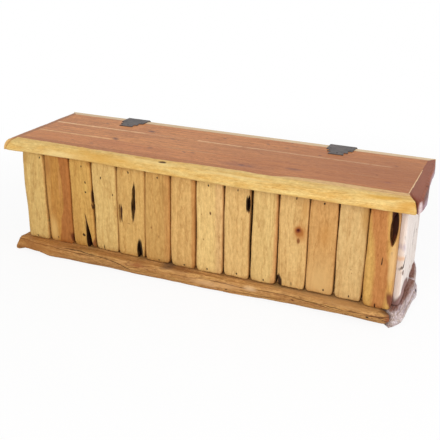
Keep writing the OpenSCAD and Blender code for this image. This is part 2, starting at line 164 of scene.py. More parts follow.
# The paper runs 40 m each way, and lies 0.6 mm low so that it and the feet don't share a face.
floor_reach = 40
floor_drop = 0.0006
floor_mesh = bpy.data.meshes.new("paper_floor")
floor_corners = [(x * floor_reach, y * floor_reach, 0) for x, y in ((-1, -1), (1, -1), (1, 1), (-1, 1))]
floor_mesh.from_pydata(floor_corners, [], [(0, 1, 2, 3)])
floor_mesh.materials.append(paper)
floor = put("paper_floor", floor_mesh)
floor.location.z = -floor_drop
floor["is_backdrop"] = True

# ---- Base boards ---------------------------------------------------------------------------
# Four thick boards of red cedar lie flat as a ring and carry the walls. Their outer edges are
# the tree's own, with the bark off: brown in front, silver-grey where the weather had it.


def streaks(tree, place, wide, long, detail=2, rough=0.5):
    """Noise in the wood, 0 to 1, whose blots are wide mm across the grain and long mm along it."""
    drawn = add(tree, "VectorMath", [place, (1 / wide, 1 / long, 1 / wide)], operation="MULTIPLY")
    return add(tree, "TexNoise", {"Vector": drawn, "Scale": 1, "Detail": detail, "Roughness": rough})


def sway_by(tree, place, cut, wide, long, detail, reach):
    """Places pushed about by noise, up to half of reach in mm each way."""
    push = add(tree, "VectorMath", [streaks(tree, cut, wide, long, detail).outputs["Color"],
                                    (0.5, 0.5, 0.5)], operation="SUBTRACT")
    push = add(tree, "VectorMath", [push, reach], operation="MULTIPLY")
    return add(tree, "VectorMath", [place, push], operation="ADD")


def grain_line(tree, along, points):
    """A line that wanders along the grain through (along, value) points."""
    first, last = points[0][0], points[-1][0]
    low = min(p[1] for p in points)
    high = max(p[1] for p in points) + 0.001
    share = add(tree, "MapRange", {"Value": along, "From Min": first, "From Max": last})
    line = add(tree, "FloatCurve", {"Value": share})
    curve = line.mapping.curves[0]
    while len(curve.points) < len(points):
        curve.points.new(0.5, 0.5)
    for knob, (place, value) in zip(curve.points, points):
        knob.location = ((place - first) / (last - first), (value - low) / (high - low))
        knob.handle_type = "AUTO_CLAMPED"
    line.mapping.update()
    return add(tree, "MapRange", {"Value": line, "To Min": low, "To Max": high})


def late_rings(tree, wood, cut, pith, ring):
    """Late wood, 0 to 1: a dark line every ring mm round a pith that sways along the trunk.

    The rings of real cedar are 1 to 3 mm wide. They are drawn wider so that they show."""
    bent = sway_by(tree, wood, cut, 140, 520, 1, (46, 0, 46))
    bent = add(tree, "VectorMath", [bent, (pith[0], 0, pith[1])], operation="SUBTRACT")
    radius = add(tree, "VectorMath", [add(tree, "VectorMath", [bent, (1, 0, 1)], operation="MULTIPLY")],
                 operation="LENGTH")
    wave = add(tree, "MapRange", {"Value": streaks(tree, cut, 12, 60, 3, 0.6), "To Min": -7, "To Max": 7})
    years = add(tree, "Math", [add(tree, "Math", [radius, wave], operation="ADD"), ring],
                operation="DIVIDE")
    year = add(tree, "Math", [years], operation="FRACT")
    rising = add(tree, "MapRange", {"Value": year, "From Min": 0.5, "From Max": 0.92},
                 interpolation_type="SMOOTHSTEP")
    falling = add(tree, "MapRange", {"Value": year, "From Min": 1.0, "From Max": 0.93},
                  interpolation_type="SMOOTHSTEP")
    return add(tree, "Math", [rising, falling], operation="MULTIPLY")


def lay_stripes(tree, shade, flat, along, stripes):
    """Lays stripes along the grain over a shade, each between two lines or on one side of a line."""
    across = add(tree, "SeparateXYZ", [flat]).outputs[0]
    for low_line, high_line, code, power, soft in stripes:
        cover = power
        if not isinstance(power, (int, float)):
            cover = grain_line(tree, along, power)
        for line, sense in ((low_line, 1), (high_line, -1)):
            if line is None:
                continue
            edge = grain_line(tree, along, line)
            gap = add(tree, "Math", [across, edge], operation="SUBTRACT")
            within = add(tree, "MapRange", {"Value": gap, "From Min": -sense * soft / 2,
                                            "From Max": sense * soft / 2},
                         interpolation_type="SMOOTHSTEP")
            cover = add(tree, "Math", [cover, within], operation="MULTIPLY")
        shade = add(tree, "Mix", {0: cover, 6: shade, 7: colour(code)}, data_type="RGBA")
    return shade


def lay_fibres(tree, shade, cut, fibre, curl):
    """Lays fibres, broader bands and a curly figure over a shade. Gives the fibres' height too.

    The fibres are drawn about 1.5 mm wide, coarser than life."""
    threads = streaks(tree, cut, 1.5, 46, 3, 0.65)
    bands = streaks(tree, cut, 7, 260, 3, 0.6)
    both = add(tree, "Math", [threads, bands], operation="ADD")
    figured = add(tree, "Math", [streaks(tree, cut, 9, 20, 4, 0.7), curl, both],
                  operation="MULTIPLY_ADD")
    middle = 1 + curl / 2
    half = 0.25 + 0.11 * curl
    light = add(tree, "MapRange", {"Value": figured, "From Min": middle - half, "From Max": middle + half})
    gain = add(tree, "Mix", {0: light, 6: (1 - fibre, 1 - 1.3 * fibre, 1 - 1.8 * fibre, 1),
                             7: (1 + 0.9 * fibre, 1 + fibre, 1 + fibre, 1)}, data_type="RGBA",
               clamp_result=False)
    shade = add(tree, "Mix", {0: 1.0, 6: shade, 7: gain}, data_type="RGBA", blend_type="MULTIPLY")
    return shade, both


def lay_marks(tree, shade, flat, marks):
    """Lays marks over a shade. Gives the cover of holes and cracks too, which are strong and narrow."""
    hole_power = 0.8
    hole_width = 12
    pits = None
    for place_across, place_along, half_width, half_length, turn, code, power, soft in marks:
        from_middle = add(tree, "Mapping", {"Vector": flat, "Location": (place_across, place_along, 0),
                                            "Rotation": (0, 0, math.radians(turn)),
                                            "Scale": (half_width, half_length, 1)}, vector_type="TEXTURE")
        off = add(tree, "VectorMath", [from_middle], operation="LENGTH")
        cover = add(tree, "MapRange", {"Value": off, "From Min": 1 + soft / 4, "From Max": 1 - soft,
                                       "To Max": power}, interpolation_type="SMOOTHSTEP")
        shade = add(tree, "Mix", {0: cover, 6: shade, 7: colour(code)}, data_type="RGBA")
        if power > hole_power and half_width < hole_width:
            pits = cover if pits is None else add(tree, "Math", [pits, cover], operation="MAXIMUM")
    return shade, pits


def cedar(name, axes, tone, late, warm, origin=(0, 0, 0), pith=(0, 80), ring=3.6, seed=0, rim=None,
          stripes=(), marks=(), rough=0.48, fibre=0.14, blots=(40, 220, 0.4), lines=0.5, flecks=0.45,
          joint=None, curl=1, shine=0.12):
    """Cedar whose axes name the ways across, along and through the grain, places in mm from origin.

    tone is early wood, late the dark lines of its rings and lines their strength. pith is the
    heart's place across and behind, and ring the width of a year. warm is the tint of the blots,
    which have a width, a length and a strength. flecks, fibre and curl are the strengths of the
    dots of resin, the fibres and the curly figure. rough and shine are the roughness and the gloss
    of the finish, and rim tints faces that turn away. A stripe is two lines along the grain, a
    colour, a strength and a softness. A mark is a round or long spot: across, along, half width,
    half length, turn, colour, strength, softness. joint is two depths, a colour and its strength:
    the colour grows over the wood from the one depth to the other. In the walls' joints it is bark or dirt
    left there, together with painted shade."""
    material, tree = new_material(name)
    coordinates = add(tree, "TexCoord")
    metres = add(tree, "VectorMath", [coordinates.outputs["Object"], [v / 1000 for v in origin]],
                 operation="SUBTRACT")
    millimetres = add(tree, "VectorMath", [metres, (1000, 1000, 1000)], operation="MULTIPLY")
    split = add(tree, "SeparateXYZ", [millimetres])
    across, along, deep = [split.outputs["XYZ".index(a)] for a in axes]
    wood = add(tree, "CombineXYZ", [across, along, deep])
    # Each seed is cut from another part of the tree.
    cut = add(tree, "VectorMath", [wood, (311 * seed, 173 * seed, 97 * seed)], operation="ADD")

    late_wood = late_rings(tree, wood, cut, pith, ring)
    faint = add(tree, "MapRange", {"Value": streaks(tree, cut, 30, 160, 1), "From Min": 0.25,
                                   "From Max": 0.75, "To Min": 0.1 * lines, "To Max": lines})
    late_share = add(tree, "Math", [late_wood, faint], operation="MULTIPLY")
    blot_width, blot_length, blot_power = blots
    blot = add(tree, "MapRange", {"Value": streaks(tree, cut, blot_width, blot_length, 4, 0.6),
                                  "From Min": 0.32, "From Max": 0.72, "To Max": blot_power},
               interpolation_type="SMOOTHSTEP")
    shade = add(tree, "Mix", {0: blot, 6: colour(tone), 7: colour(warm)}, data_type="RGBA")

    # Stripes and marks have edges that waver with the grain.
    drawn = sway_by(tree, wood, cut, 9, 40, 2, (7, 14, 0))
    flat = add(tree, "VectorMath", [drawn, (1, 1, 0)], operation="MULTIPLY")
    shade = lay_stripes(tree, shade, flat, along, stripes)
    tint = add(tree, "Mix", {0: late_share, 6: (1, 1, 1, 1), 7: [min(1, b / a) for a, b in zip(
        colour(tone), colour(late))]}, data_type="RGBA")
    shade = add(tree, "Mix", {0: 1.0, 6: shade, 7: tint}, data_type="RGBA", blend_type="MULTIPLY")
    shade, fibre_height = lay_fibres(tree, shade, cut, fibre, curl)

    # Short dark flecks of resin, drawn a little larger than life.
    fleck = add(tree, "MapRange", {"Value": streaks(tree, cut, 2.2, 13, 1), "From Min": 0.63,
                                   "From Max": 0.72, "To Max": flecks}, interpolation_type="SMOOTHSTEP")
    shade = add(tree, "Mix", {0: fleck, 6: shade, 7: colour(late)}, data_type="RGBA")

    # Faces that turn away to the side carry the tint of the wood under the bark, and are darkened with
    # painted shade as well.
    if rim:
        faces = add(tree, "SeparateXYZ", [coordinates.outputs["Normal"]])
        aside = add(tree, "Math", [faces.outputs["XYZ".index(axes[0])]], operation="ABSOLUTE")
        turned = add(tree, "MapRange", {"Value": aside, "From Min": 0.35, "From Max": 0.95, "To Max": 0.45},
                     interpolation_type="SMOOTHSTEP")
        shade = add(tree, "Mix", {0: turned, 6: shade, 7: colour(rim)}, data_type="RGBA")
    # A colour that grows deeper in. In the walls' joints it is painted shade together with the bark or dirt
    # there.
    if joint:
        start, end, code, power = joint
        ragged = add(tree, "MapRange", {"Value": streaks(tree, cut, 5, 16, 3, 0.7),
                                        "To Min": -0.5 * abs(end - start), "To Max": 0.5 * abs(end - start)})
        ragged = add(tree, "Math", [deep, ragged], operation="ADD")
        sunk = add(tree, "MapRange", {"Value": ragged, "From Min": start, "From Max": end,
                                      "To Max": power}, interpolation_type="SMOOTHSTEP")
        shade = add(tree, "Mix", {0: sunk, 6: shade, 7: colour(code)}, data_type="RGBA")
    shade, pits = lay_marks(tree, shade, flat, marks)

    # The satin finish is a little drier over the late wood. Fibres stand about 0.1 mm proud.
    dull = add(tree, "MapRange", {"Value": fibre_height, "From Min": 0.6, "From Max": 1.4,
                                  "To Min": rough - 0.06, "To Max": rough + 0.1})
    height = add(tree, "Math", [fibre_height, late_wood], operation="ADD")
    if pits is not None:
        height = add(tree, "Math", [height, add(tree, "Math", [pits, 4.0], operation="MULTIPLY")],
                     operation="SUBTRACT")
    bump = add(tree, "Bump", {"Strength": 0.6, "Distance": 0.0003, "Height": height})
    surface = add(tree, "BsdfPrincipled", {"Base Color": shade, "Roughness": dull, "Normal": bump,
                                           "IOR": 1.5, "Specular IOR Level": shine})
    add(tree, "OutputMaterial", [surface])
    return material


weld = 1e-5  # Corners of a solid that lie closer than 0.01 mm are one.


def relief(place, along_axis, sizes):
    """Height in mm at a place in mm, the sum of noises given as (height, width, length along the grain)."""
    total = 0
    for height, wide, long in sizes:
        scale = Vector([1 / (long if axis == along_axis else wide) for axis in range(3)])
        total += height * noise.noise(place * scale + Vector((wide, long, 3.7)))
    return total


def mark_splits(work):
    """Gives the faces that look into a split, up to 30 mm wide, the second material."""
    off_the_face = 0.0002
    widest = 0.03
    solid = BVHTree.FromBMesh(work)
    for face in work.faces:
        face.material_index = 0
        start = face.calc_center_median() + face.normal * off_the_face
        hit = solid.ray_cast(start, face.normal, widest)
        if hit[0] is not None:
            face.material_index = 1


def dice(work, spacing, held):
    """Halves the edges of the tree's own skin, the longest first, until they are about spacing mm."""
    longest = 0.128
    while longest >= spacing / 1000:
        live = {face for face in work.faces if held(face.calc_center_median() * 1000) > 0}
        edges = [edge for edge in work.edges
                 if edge.calc_length() > longest and any(face in live for face in edge.link_faces)]
        bmesh.ops.subdivide_edges(work, edges=edges, cuts=1)
        bmesh.ops.triangulate(work, faces=[face for face in work.faces if len(face.verts) > 3])
        longest /= 1.4


def carve(node, spacing, along_axis, sizes, held, soften=6, fuller=None):
    """A copy of a CAD solid, diced to spacing in mm, with its facets softened and its skin made uneven.

    held gives 0 where the wood stays as it was sawn and 1 where it is the tree's own. fuller moves
    a place in mm before the skin is made. Faces that look into a split get the second material."""
    crease = math.radians(50)
    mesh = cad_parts[node].data.copy()
    work = bmesh.new()
    work.from_mesh(mesh)
    bmesh.ops.remove_doubles(work, verts=work.verts, dist=weld)
    mark_splits(work)
    dice(work, spacing, held)
    borders = {edge for edge in work.edges if len({face.material_index for face in edge.link_faces}) > 1}
    fixed = {corner for edge in borders for corner in edge.verts}
    fixed |= {corner for corner in work.verts if held(corner.co * 1000) <= 0}
    free = [corner for corner in work.verts if corner not in fixed]
    for _ in range(soften):
        bmesh.ops.smooth_vert(work, verts=free, factor=0.5, use_axis_x=True, use_axis_y=True,
                              use_axis_z=True)
    if fuller:
        for corner in work.verts:
            corner.co = fuller(corner.co * 1000) / 1000
    work.normal_update()
    moves = []
    for corner in work.verts:
        place = corner.co * 1000
        moves.append((corner, corner.normal * held(place) * relief(place, along_axis, sizes) / 1000))
    for corner, move in moves:
        corner.co += move
        corner.co.z = max(corner.co.z, 0)
    for face in work.faces:
        face.smooth = True
    work.normal_update()
    for edge in work.edges:
        edge.smooth = edge not in borders and edge.calc_face_angle(0) < crease
    work.to_mesh(mesh)
    work.free()
    return mesh


def dress(piece, mesh, node, body, materials):
    """Puts a finished mesh in the place of its CAD solid."""
    mesh.materials.clear()
    for material in materials:
        mesh.materials.append(material)
    made = put(piece, mesh)
    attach(made, body)
    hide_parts(node)
    return made


def ramp(value, start, end):
    """0 before start and 1 past end."""
    return max(0.0, min(1.0, (value - start) / (end - start)))


# Each wall's plane, in mm, where the flat edges of its slabs end and their round faces begin. A
# slab's flat edge is 14 mm deep.
slab_edge = 14
wall_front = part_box("front_slab_01")[1].y * 1000 - slab_edge
wall_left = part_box("left_slab_01")[1].x * 1000 - slab_edge
wall_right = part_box("right_slab_01")[0].x * 1000 + slab_edge

# Torn cedar inside a split, dry and dull with coarse fibres, made near-black with painted shade of the
# split.
split_wood_and_shade = cedar("split_cedar_shaded", "XZY", "#2f180f", "#20100a", "#3f2216", fibre=0.3, rough=0.8,
                   shine=0.04)

# Weathered cedar with the bark peeled off, dull and with coarse raised fibres. The front and left
# boards stayed brown, with small knots and long cracks drawn as dark lines of painted shade.
brown_edge = cedar(
    "weathered_cedar_brown", "ZXY", "#c4985f", "#74492c", "#a6754a", pith=(-30, -60), ring=5, seed=3,
    rough=0.6, fibre=0.38, blots=(14, 130, 0.75), lines=0.8, flecks=0.6,
    stripes=[([(-760, 60), (760, 60)], None, "#9f6c3c", 0.5, 8),
             ([(-740, 44), (-600, 49), (-500, 46), (-370, 50), (-360, 52), (760, 52)],
              [(-740, 46.5), (-600, 51.5), (-500, 48.5), (-370, 50), (760, 50)], "#3a2214", 0.9, 1.5),
             ([(-560, 51), (-470, 55), (-370, 52), (-290, 43), (-237, 23), (-225, 21), (760, 21)],
              [(-560, 51), (-470, 57.5), (-370, 54.5), (-290, 46), (-237, 26), (-225, 21), (760, 21)],
              "#3a2214", 0.85, 1.5),
             ([(-760, 40), (0, 41), (60, 42), (200, 40), (330, 46), (420, 41), (560, 42), (680, 36)],
              [(-760, 40), (0, 41), (60, 43.5), (200, 42), (330, 48), (420, 43), (560, 44), (680, 38)],
              "#42281a", 0.85, 1.5)],
    marks=[(62, 480, 14, 260, 0, "#b98f5c", 0.8, 0.8), (60, -50, 12, 80, 0, "#744626", 0.7, 1),
           (30, -680, 40, 90, 0, "#94602f", 0.6, 1),
           (30, 60, 14, 75, 0, "#d2a878", 0.75, 0.9), (42, 226, 12, 30, 0, "#d8b58a", 0.8, 0.9),
           (20, 137, 3, 6, 0, "#3c2415", 0.9, 0.5), (31, 631, 4, 5, 0, "#1f120b", 0.95, 0.4),
           (32, 379, 5, 7, 0, "#5a3520", 0.8, 0.7), (26, 559, 4, 6, 0, "#5a3520", 0.8, 0.7),
           (20, -627, 3, 5, 0, "#4a2a18", 0.85, 0.6), (48, -205, 12, 30, 0, "#8f4f2c", 0.6, 0.9),
           (58, -92, 8, 32, 0, "#4d4038", 0.5, 0.8), (40, -620, 60, 190, 0, "#a5662c", 0.45, 1),
           (30, 708, 60, 26, 0, "#8c5336", 0.9, 0.6),
           (59, 688, 12, 30, 0, "#553722", 0.85, 0.7), (34, 150, 12, 60, 0, "#d4a672", 0.6, 0.9),
           (20, 700, 2, 40, 30, "#3a2114", 0.9, 0.5), (40, 660, 2.5, 70, -6, "#5f3b22", 0.85, 0.6),
           (38, 480, 1.8, 90, 2, "#5f3b22", 0.8, 0.6), (22, 260, 1.8, 110, -2, "#6b4526", 0.8, 0.6)])
# The right and rear boards went grey on the edge, with silver streaks and small cracks. Their tops
# are red-brown.
grey_edge = cedar(
    "weathered_cedar_grey", "ZYX", "#cabdc1", "#75636a", "#a99aa0", pith=(-20, 640), ring=6, seed=5,
    rough=0.62, fibre=0.4, blots=(12, 110, 0.8), lines=0.8, flecks=0.5,
    stripes=[([(-260, 54), (240, 54)], None, "#84594c", 0.92, 5),
             ([(-260, 20), (-100, 16), (40, 26), (240, 22)], [(-260, 30), (-100, 34), (40, 38), (240, 36)],
              "#d3cbd0", 0.6, 8)],
    marks=[(34, 30, 10, 34, 10, "#e2d6d6", 0.7, 0.9), (18, -60, 8, 60, 4, "#ddd0cf", 0.6, 0.9),
           (40, 12, 6, 10, 0, "#2b2430", 0.95, 0.4),
           (46, 60, 2.5, 70, 4, "#55474c", 0.85, 0.6), (30, -40, 2, 60, -5, "#64565b", 0.8, 0.6),
           (12, 20, 2, 50, 3, "#6c5d60", 0.75, 0.6)])

# Where each board is the tree's own, 0 to 1: this starts 6 mm out from the plane of the wall on it,
# and is full at 24 or 30 mm. The rear board is so at its ends only.
rear_sawn = 690
own_edges = {
    "front": lambda place: ramp(wall_front - place.y, 6, 30),
    "left": lambda place: ramp(wall_left - place.x, 6, 24),
    "right": lambda place: ramp(place.x - wall_right, 6, 24),
    "rear": lambda place: ramp(abs(place.x) - rear_sawn, 6, 24),
}
# The unevenness of the skin: its height, its width and its length along the grain in mm.
base_skin = [(2.6, 30, 170), (1.3, 12, 60), (0.5, 5, 30)]
base_spacing = 5
for side_name, material in (("front", brown_edge), ("left", brown_edge), ("right", grey_edge),
                            ("rear", grey_edge)):
    node = "base_" + side_name
    grain = 1 if side_name in ("left", "right") else 0
    own_edge = own_edges[side_name]
    mesh = carve(node, base_spacing, grain, base_skin,
                 lambda place: own_edge(place) * ramp(place.z, 0, 4))
    dress("weathered_" + node, mesh, node, "chest", [material, split_wood_and_shade])

# ---- Floor boards and inner frame ----------------------------------------------------------
# Plain sawn cedar: square posts in the corners, rails between them and boards across the floor.
# They are planed, cut to length and screwed from inside, and their corners are just broken.


def saw(node, corner):
    """A copy of a sawn piece with its long corners broken by corner mm."""
    flat_seam = math.radians(1)
    square_corner = math.radians(60)
    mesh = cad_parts[node].data.copy()
    work = bmesh.new()
    work.from_mesh(mesh)
    bmesh.ops.remove_doubles(work, verts=work.verts, dist=weld)
    bmesh.ops.dissolve_limit(work, angle_limit=flat_seam, verts=work.verts, edges=work.edges)
    edges = [edge for edge in work.edges if edge.calc_face_angle(0) > square_corner]
    bmesh.ops.bevel(work, geom=edges, offset=corner / 1000, offset_type="OFFSET", segments=2, profile=0.5,
                    affect="EDGES", clamp_overlap=True)
    for face in work.faces:
        face.smooth = True
    work.to_mesh(mesh)
    work.free()
    return mesh


def dress_sawn(how, node, corner, body, material):
    """Dresses a sawn piece: corners broken by corner mm, which shade round, and broad faces flat."""
    made = dress(how + node, saw(node, corner), node, body, [material])
    weigh = made.modifiers.new("flat_faces", "WEIGHTED_NORMAL")
    weigh.keep_sharp = True
    weigh.weight = 100


# Sawn and planed cedar, one material for each way that the grain runs: pale, even and nearly matt.
sawn = {axes: cedar("sawn_cedar_" + axes, axes, "#d8ae78", "#b07a4a", "#c98f62", pith=(15, 140), ring=6,
                    seed=11, rough=0.55, fibre=0.12)
        for axes in ("ZXY", "ZYX", "XZY", "XYZ")}
frame_pieces = [("floor_boards", "XYZ"), ("corner_posts", "XZY"),
                ("front_top_rail", "ZXY"), ("front_bottom_rail", "ZXY"),
                ("rear_top_rail", "ZXY"), ("rear_bottom_rail", "ZXY"),
                ("left_top_rail", "ZYX"), ("left_bottom_rail", "ZYX"),
                ("right_top_rail", "ZYX"), ("right_bottom_rail", "ZYX")]
for node, axes in frame_pieces:
    dress_sawn("sawn_", node, 1.2, "chest", sawn[axes])

# ---- Front wall ----------------------------------------------------------------------------
# Fourteen slabs split from small cedar trunks stand side by side, round face out, peeled to the
# yellow sapwood. Here and there the red heart shows, with knots, worm holes and drying splits.


def squarer(node, side, depth, wall, out):
    """Moves places on a slab: its round face gets flatter, its edges tighter, its tucked-in foot wider.

    A section of power 2 is an ellipse, and one of a higher power is squarer."""
    foot_height = 34
    foot_tuck = 5.5
    foot_curve = 2.6
    round_power = 3.3
    round_root = 0.3
    square_power = 8
    low, high = [corner * 1000 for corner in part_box(node)]
    middle = (low[side] + high[side]) / 2
    half = (high[side] - low[side]) / 2
    swell = max(out * (low[depth] - wall), out * (high[depth] - wall))

    def move(place):
        foot = 1 - (place.z - low.z) / foot_height
        place = place.copy()
        narrowed = half - foot_tuck * max(0, foot) ** foot_curve
        place[side] = middle + (place[side] - middle) * half / narrowed
        aside = abs(place[side] - middle) / half
        outward = out * (place[depth] - wall) / swell
        # Places on the middle line and on the flat edges stay.
        if aside < 0.01 or outward < 0.01:
            return place
        was = (aside ** round_power + outward ** round_power) ** round_root
        now = (aside ** square_power + outward ** square_power) ** (1 / square_power)
        place[side] = middle + (place[side] - middle) * (was / now)
        place[depth] = wall + (place[depth] - wall) * (was / now)
        return place

    return move


# Holes and splits drawn on the slabs, and the drawn ends of the carved ones, are near-black: painted shade
# of their insides. The iron stain round a nail takes the same colour.
hole = "#2e190f"
slab_skin = [(1.3, 34, 190), (0.7, 13, 80), (0.3, 6, 30)]
slab_spacing = 4.5
skin_depth = 12
# The iron of a nail stains a small spot of the wood round it.
nail_stain = (3.1, 4.6, 0, hole, 0.95, 0.4)
# Peeled cedar, smooth and satin. Each slab: its tone, its blots' tone, its pith across and behind,
# stripes, marks and nails, in mm from its middle line and its foot.
front_slabs = [
    ("#d5b472", "#c0985a", (10, 60), [],
     [(46, 78, 4, 6, 0, "#8f7a45", 0.7, 0.8), (-36, 318, 22, 34, 0, "#ab8044", 0.6, 0.9)],
     [(-3, 13), (34, 329)]),
    ("#be8a45", "#a86e36", (30, 55),
     [([(0, -6), (12, -3), (100, 9), (162, 24), (345, 14)], None, "#aa6c38", 0.92, 5),
      ([(0, -60), (345, -60)], [(0, -38), (200, -30), (345, -22)], "#d0a05a", 0.6, 14)],
     [(52, 26, 9, 26, 14, "#5e2c18", 0.9, 0.6), (12, 240, 6, 70, 0, "#c98f55", 0.6, 0.9),
      # The broad darker mark at this slab's top left is the lid's shadow, painted.
      (-38, 300, 20, 60, 0, "#a06a36", 0.7, 0.9), (-28, 45, 22, 70, 0, "#dcb36e", 0.8, 0.9)],
     [(-12, 20)]),
    ("#cda25a", "#ba8644", (-20, 70), [],
     [(20, 240, 9, 34, 0, "#dcb765", 0.6, 0.9), (19, 258, 3.6, 5.5, 0, hole, 0.95, 0.35),
      (18, 223, 3.6, 5, 20, hole, 0.92, 0.35),
      (0, 47, 7, 7, 15, hole, 0.97, 0.35), (0, 47, 3, 3, 15, "#8a5a30", 0.7, 0.7),
      (43, 205, 3.5, 30, 0, "#3d2117", 0.95, 0.5), (43, 168, 2.5, 14, 8, "#3d2117", 0.9, 0.5),
      (22, 0, 11, 114, 3.7, "#2a120b", 0.97, 0.3), (14, 112, 3.2, 30, 5, "#3a1d12", 0.93, 0.4),
      (40, 15, 7, 34, -14, "#7c3f2a", 0.8, 0.7)],
     [(8, 320)]),
    ("#d9b877", "#cfa662", (5, 75), [],
     [(-10, 285, 3, 5.5, 0, hole, 0.95, 0.4), (36, 225, 3, 4, 0, hole, 0.9, 0.5),
      (-10, 10, 2.8, 14, 0, hole, 0.95, 0.4)], []),
    ("#d2aa68", "#c39757", (-10, 60), [],
     [(-10, 128, 10, 3, 20, "#8a5e35", 0.6, 0.8), (12, 212, 8, 80, -3.7, "#32140d", 0.98, 0.25),
      (11, 200, 10, 38, -3.7, "#32140d", 0.96, 0.3),
      (31, 14, 11.5, 66, 0, "#1c0d08", 0.97, 0.25), (-39, 164, 4, 40, 0, "#3a1a0c", 0.97, 0.25)],
     [(-6, 324)]),
    ("#c99f5f", "#b98b4e", (26, 40), [([(0, 28), (345, 34)], None, "#b9814a", 0.5, 14)],
     [(28, 280, 22, 34, 0, "#a97c42", 0.55, 0.9), (-21, 133, 3.5, 6, 0, "#8b5d33", 0.75, 0.7),
      (7, 103, 4, 6, 20, "#95693c", 0.6, 0.8)],
     [(7, 323), (5, 10)]),
    ("#d5ad6e", "#c5975a", (0, 70), [([(0, 34), (345, 36)], None, "#b3773f", 0.6, 10)], [],
     [(5, 12)]),
    ("#e0c080", "#d3ab6e", (-8, 80), [([(0, 26), (345, 24)], None, "#cfa273", 0.5, 16)],
     [(6, 227, 3.6, 7, 0, "#5b3317", 0.92, 0.5), (-26, 217, 2.4, 3.5, 0, "#8a6231", 0.8, 0.6),
      (-21, 126, 2.6, 5, 0, "#8a6231", 0.8, 0.6)],
     [(-6, 14), (-2, 322)]),
    ("#dab679", "#cda264", (14, 70), [],
     [(19, 221, 2.5, 4, 0, "#a9793f", 0.7, 0.7), (-7, 130, 3, 22, 0, "#c3945a", 0.5, 0.9),
      (37, 279, 5.5, 31, 0, "#23100a", 0.96, 0.4)],
     [(3, 322), (3, 14)]),
    ("#d8b87a", "#cda468", (-16, 60), [([(0, 26), (60, 34), (345, 40)], None, "#c98f5a", 0.6, 12)], [],
     [(4, 14)]),
    ("#d8b478", "#cb9f62", (20, 50), [],
     [(26, 205, 30, 44, 0, "#b87c40", 0.85, 0.9), (38, 290, 12, 60, 0, "#bd8a4c", 0.7, 0.9),
      (20, 210, 19, 21, 20, "#a5652f", 0.8, 0.4), (19, 212, 12, 11, 30, "#7d3d22", 0.92, 0.5),
      (19, 213, 6, 5.5, 30, "#48190f", 0.95, 0.5), (20, 177, 7, 12, 0, "#7d4722", 0.9, 0.6),
      (3, 16, 1.5, 10, 0, hole, 0.9, 0.5), (-42, 5, 13, 42, 0, "#2a150d", 0.97, 0.25)],
     [(8, 322)]),
    ("#cc9f64", "#be8a52", (0, 60), [],
     [(10, 210, 30, 60, 0, "#c48c4a", 0.6, 1), (0, 40, 70, 110, 0, "#d4ac70", 0.8, 1)],
     [(16, 17), (1, 318)]),
    ("#d5b47c", "#c69c62", (-10, 70), [],
     [(5, 110, 2, 2.6, 0, "#8a5d30", 0.85, 0.5), (8, 97, 2.6, 4, 20, "#a57747", 0.75, 0.6),
      (40, 300, 20, 70, 0, "#b78849", 0.75, 0.9)],
     [(4, 14)]),
    ("#cca15b", "#c1924a", (4, 50),
     [([(0, -14), (120, -14), (200, -20), (280, -34), (345, -44)],
       [(0, 24), (110, 32), (200, 22), (345, 12)], "#b77846", 0.86, 18)],
     [(7, 169, 2.4, 15, -4, "#1f100a", 0.97, 0.4), (-8, 189, 2.4, 6, 0, "#8f5229", 0.8, 0.6),
      (35, 200, 3.2, 6.5, 0, "#5c3517", 0.92, 0.5), (-3, 8, 2.2, 12, 0, "#3c1c10", 0.95, 0.5),
      (46, 28, 12, 44, 16, "#6e3526", 0.92, 0.5), (31, 345, 9, 46, 0, "#47281d", 0.96, 0.35),
      (38, 170, 12, 90, 0, "#d9b27c", 0.85, 0.8),
      (33, 290, 11, 66, -2, "#391912", 0.92, 0.2), (32, 238, 5, 15, -2, "#7a3c26", 0.7, 0.6)], []),
]
# The long pocket at the right corner still holds brown bark, rough and dull.
bark_pocket = cedar("bark_pocket", "XZY", "#be6a57", "#4c2016", "#713a2e", fibre=0.4, rough=0.8,
                    blots=(9, 60, 0.9), lines=0.9, shine=0.04)
# Grime and painted shade darken the joints, more the deeper in. The slab with the pocket has red bark with
# painted shade there instead.
grime_and_shade = (-9, 0, "#24120a", 0.97)
red_bark_and_shade = (-2, 6, "#6a3422", 0.8)
nail_places = []
for i, (tone, warm, pith, stripes, marks, nail_spots) in enumerate(front_slabs, start=1):
    node = "front_slab_%02d" % i
    low, high = [corner * 1000 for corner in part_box(node)]
    origin = ((low.x + high.x) / 2, wall_front, low.z)
    stains = [spot + nail_stain for spot in nail_spots]
    has_pocket = i == len(front_slabs)
    skin = cedar("peeled_cedar_%02d" % i, "XZY", tone, "#a06a30", warm, origin=origin, pith=pith,
                 seed=i, rim="#b3783f", stripes=stripes, marks=marks + stains, ring=7, lines=0.45,
                 joint=red_bark_and_shade if has_pocket else grime_and_shade, fibre=0.17, flecks=0.3, curl=2)
    mesh = carve(node, slab_spacing, 2, slab_skin,
                 lambda place: ramp(wall_front + skin_depth - place.y, 0, skin_depth),
                 soften=2, fuller=squarer(node, 0, 1, wall_front, -1))
    dress("peeled_" + node, mesh, node, "chest",
          [skin, bark_pocket if has_pocket else split_wood_and_shade])
    wall = BVHTree.FromPolygons([corner.co for corner in mesh.vertices],
                                [face.vertices for face in mesh.polygons])
    for x, z in nail_spots:
        in_front = Vector((origin[0] + x, wall_front - 100, origin[2] + z)) / 1000
        nail_places.append(wall.ray_cast(in_front, Vector((0, 1, 0)))[:2])
